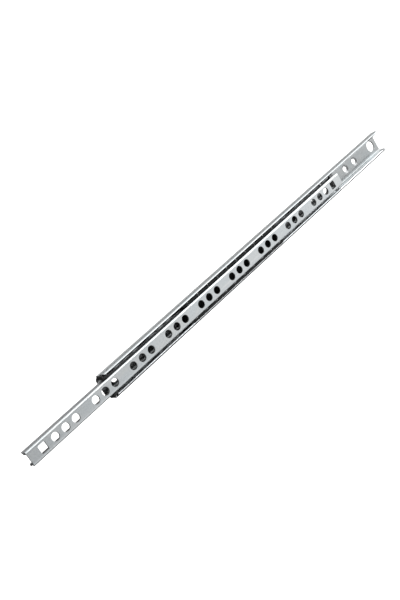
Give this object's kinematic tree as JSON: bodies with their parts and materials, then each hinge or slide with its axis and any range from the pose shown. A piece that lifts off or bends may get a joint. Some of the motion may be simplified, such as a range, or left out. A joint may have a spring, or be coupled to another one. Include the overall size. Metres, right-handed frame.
{
  "type": "cabinet drawer slide",
  "caption": "Slim ball-bearing drawer slide in zinc-plated steel: a perforated drawer rail rolls out of a C-shaped cabinet rail on caged steel balls.",
  "frame": {"origin": "centre of the cabinet rail's back face, which lies on the cabinet's side panel", "axes": "X runs along the slide and the drawer pulls out towards -X; Y runs across it, left is +Y; Z points from the cabinet side to the drawer side"},
  "size_m": [0.3735, 0.017, 0.01],
  "materials": {
    "outer_zinc": "bright zinc plate, satin, drawn along the rail",
    "inner_zinc": "bright zinc plate, satin, drawn along the rail",
    "cage_plastic": "black moulded plastic, satin",
    "bumper_plastic": "black moulded plastic, satin",
    "ball_steel": "polished bearing steel, lightly oiled"
  },
  "bodies": {
    "cabinet_rail": {"outer_rail": "outer_zinc", "front_bumper_left": "bumper_plastic", "front_bumper_right": "bumper_plastic"},
    "drawer_rail": {"inner_rail": "inner_zinc"},
    "cage": {"ball_cage": "cage_plastic"},
    "ball_left_1": {"ball_left_1": "ball_steel"},
    "ball_left_2": {"ball_left_2": "ball_steel"},
    "ball_left_3": {"ball_left_3": "ball_steel"},
    "ball_left_4": {"ball_left_4": "ball_steel"},
    "ball_left_5": {"ball_left_5": "ball_steel"},
    "ball_left_6": {"ball_left_6": "ball_steel"},
    "ball_left_7": {"ball_left_7": "ball_steel"},
    "ball_left_8": {"ball_left_8": "ball_steel"},
    "ball_left_9": {"ball_left_9": "ball_steel"},
    "ball_left_10": {"ball_left_10": "ball_steel"},
    "ball_right_1": {"ball_right_1": "ball_steel"},
    "ball_right_2": {"ball_right_2": "ball_steel"},
    "ball_right_3": {"ball_right_3": "ball_steel"},
    "ball_right_4": {"ball_right_4": "ball_steel"},
    "ball_right_5": {"ball_right_5": "ball_steel"},
    "ball_right_6": {"ball_right_6": "ball_steel"},
    "ball_right_7": {"ball_right_7": "ball_steel"},
    "ball_right_8": {"ball_right_8": "ball_steel"},
    "ball_right_9": {"ball_right_9": "ball_steel"},
    "ball_right_10": {"ball_right_10": "ball_steel"}
  },
  "joints": [
    {"name": "drawer_slide", "type": "slide", "parent": "cabinet_rail", "child": "drawer_rail", "axis": [-1, 0, 0], "range_m": [-0.0635, 0.1365]},
    {"name": "cage_roll", "type": "slide", "parent": "cabinet_rail", "child": "cage", "axis": [-1, 0, 0], "range_m": [-0.03175, 0.06825]},
    {"name": "ball_left_1_spin", "type": "hinge", "parent": "cage", "child": "ball_left_1", "pos_m": [-0.07825, 0.00565, 0.0066], "axis": [0, 0, 1], "continuous": true},
    {"name": "ball_left_2_spin", "type": "hinge", "parent": "cage", "child": "ball_left_2", "pos_m": [-0.06825, 0.00565, 0.0066], "axis": [0, 0, 1], "continuous": true},
    {"name": "ball_left_3_spin", "type": "hinge", "parent": "cage", "child": "ball_left_3", "pos_m": [-0.05825, 0.00565, 0.0066], "axis": [0, 0, 1], "continuous": true},
    {"name": "ball_left_4_spin", "type": "hinge", "parent": "cage", "child": "ball_left_4", "pos_m": [-0.04825, 0.00565, 0.0066], "axis": [0, 0, 1], "continuous": true},
    {"name": "ball_left_5_spin", "type": "hinge", "parent": "cage", "child": "ball_left_5", "pos_m": [-0.03825, 0.00565, 0.0066], "axis": [0, 0, 1], "continuous": true},
    {"name": "ball_left_6_spin", "type": "hinge", "parent": "cage", "child": "ball_left_6", "pos_m": [-0.02825, 0.00565, 0.0066], "axis": [0, 0, 1], "continuous": true},
    {"name": "ball_left_7_spin", "type": "hinge", "parent": "cage", "child": "ball_left_7", "pos_m": [-0.01825, 0.00565, 0.0066], "axis": [0, 0, 1], "continuous": true},
    {"name": "ball_left_8_spin", "type": "hinge", "parent": "cage", "child": "ball_left_8", "pos_m": [-0.00825, 0.00565, 0.0066], "axis": [0, 0, 1], "continuous": true},
    {"name": "ball_left_9_spin", "type": "hinge", "parent": "cage", "child": "ball_left_9", "pos_m": [0.00175, 0.00565, 0.0066], "axis": [0, 0, 1], "continuous": true},
    {"name": "ball_left_10_spin", "type": "hinge", "parent": "cage", "child": "ball_left_10", "pos_m": [0.01175, 0.00565, 0.0066], "axis": [0, 0, 1], "continuous": true},
    {"name": "ball_right_1_spin", "type": "hinge", "parent": "cage", "child": "ball_right_1", "pos_m": [-0.07825, -0.00565, 0.0066], "axis": [0, 0, 1], "continuous": true},
    {"name": "ball_right_2_spin", "type": "hinge", "parent": "cage", "child": "ball_right_2", "pos_m": [-0.06825, -0.00565, 0.0066], "axis": [0, 0, 1], "continuous": true},
    {"name": "ball_right_3_spin", "type": "hinge", "parent": "cage", "child": "ball_right_3", "pos_m": [-0.05825, -0.00565, 0.0066], "axis": [0, 0, 1], "continuous": true},
    {"name": "ball_right_4_spin", "type": "hinge", "parent": "cage", "child": "ball_right_4", "pos_m": [-0.04825, -0.00565, 0.0066], "axis": [0, 0, 1], "continuous": true},
    {"name": "ball_right_5_spin", "type": "hinge", "parent": "cage", "child": "ball_right_5", "pos_m": [-0.03825, -0.00565, 0.0066], "axis": [0, 0, 1], "continuous": true},
    {"name": "ball_right_6_spin", "type": "hinge", "parent": "cage", "child": "ball_right_6", "pos_m": [-0.02825, -0.00565, 0.0066], "axis": [0, 0, 1], "continuous": true},
    {"name": "ball_right_7_spin", "type": "hinge", "parent": "cage", "child": "ball_right_7", "pos_m": [-0.01825, -0.00565, 0.0066], "axis": [0, 0, 1], "continuous": true},
    {"name": "ball_right_8_spin", "type": "hinge", "parent": "cage", "child": "ball_right_8", "pos_m": [-0.00825, -0.00565, 0.0066], "axis": [0, 0, 1], "continuous": true},
    {"name": "ball_right_9_spin", "type": "hinge", "parent": "cage", "child": "ball_right_9", "pos_m": [0.00175, -0.00565, 0.0066], "axis": [0, 0, 1], "continuous": true},
    {"name": "ball_right_10_spin", "type": "hinge", "parent": "cage", "child": "ball_right_10", "pos_m": [0.01175, -0.00565, 0.0066], "axis": [0, 0, 1], "continuous": true}
  ],
  "couplings": [
    {"joint": "cage_roll", "follows": "drawer_slide", "ratio": 0.5},
    {"joint": "ball_left_1_spin", "follows": "drawer_slide", "rad_per_m": -285.71},
    {"joint": "ball_left_2_spin", "follows": "drawer_slide", "rad_per_m": -285.71},
    {"joint": "ball_left_3_spin", "follows": "drawer_slide", "rad_per_m": -285.71},
    {"joint": "ball_left_4_spin", "follows": "drawer_slide", "rad_per_m": -285.71},
    {"joint": "ball_left_5_spin", "follows": "drawer_slide", "rad_per_m": -285.71},
    {"joint": "ball_left_6_spin", "follows": "drawer_slide", "rad_per_m": -285.71},
    {"joint": "ball_left_7_spin", "follows": "drawer_slide", "rad_per_m": -285.71},
    {"joint": "ball_left_8_spin", "follows": "drawer_slide", "rad_per_m": -285.71},
    {"joint": "ball_left_9_spin", "follows": "drawer_slide", "rad_per_m": -285.71},
    {"joint": "ball_left_10_spin", "follows": "drawer_slide", "rad_per_m": -285.71},
    {"joint": "ball_right_1_spin", "follows": "drawer_slide", "rad_per_m": 285.71},
    {"joint": "ball_right_2_spin", "follows": "drawer_slide", "rad_per_m": 285.71},
    {"joint": "ball_right_3_spin", "follows": "drawer_slide", "rad_per_m": 285.71},
    {"joint": "ball_right_4_spin", "follows": "drawer_slide", "rad_per_m": 285.71},
    {"joint": "ball_right_5_spin", "follows": "drawer_slide", "rad_per_m": 285.71},
    {"joint": "ball_right_6_spin", "follows": "drawer_slide", "rad_per_m": 285.71},
    {"joint": "ball_right_7_spin", "follows": "drawer_slide", "rad_per_m": 285.71},
    {"joint": "ball_right_8_spin", "follows": "drawer_slide", "rad_per_m": 285.71},
    {"joint": "ball_right_9_spin", "follows": "drawer_slide", "rad_per_m": 285.71},
    {"joint": "ball_right_10_spin", "follows": "drawer_slide", "rad_per_m": 285.71}
  ]
}
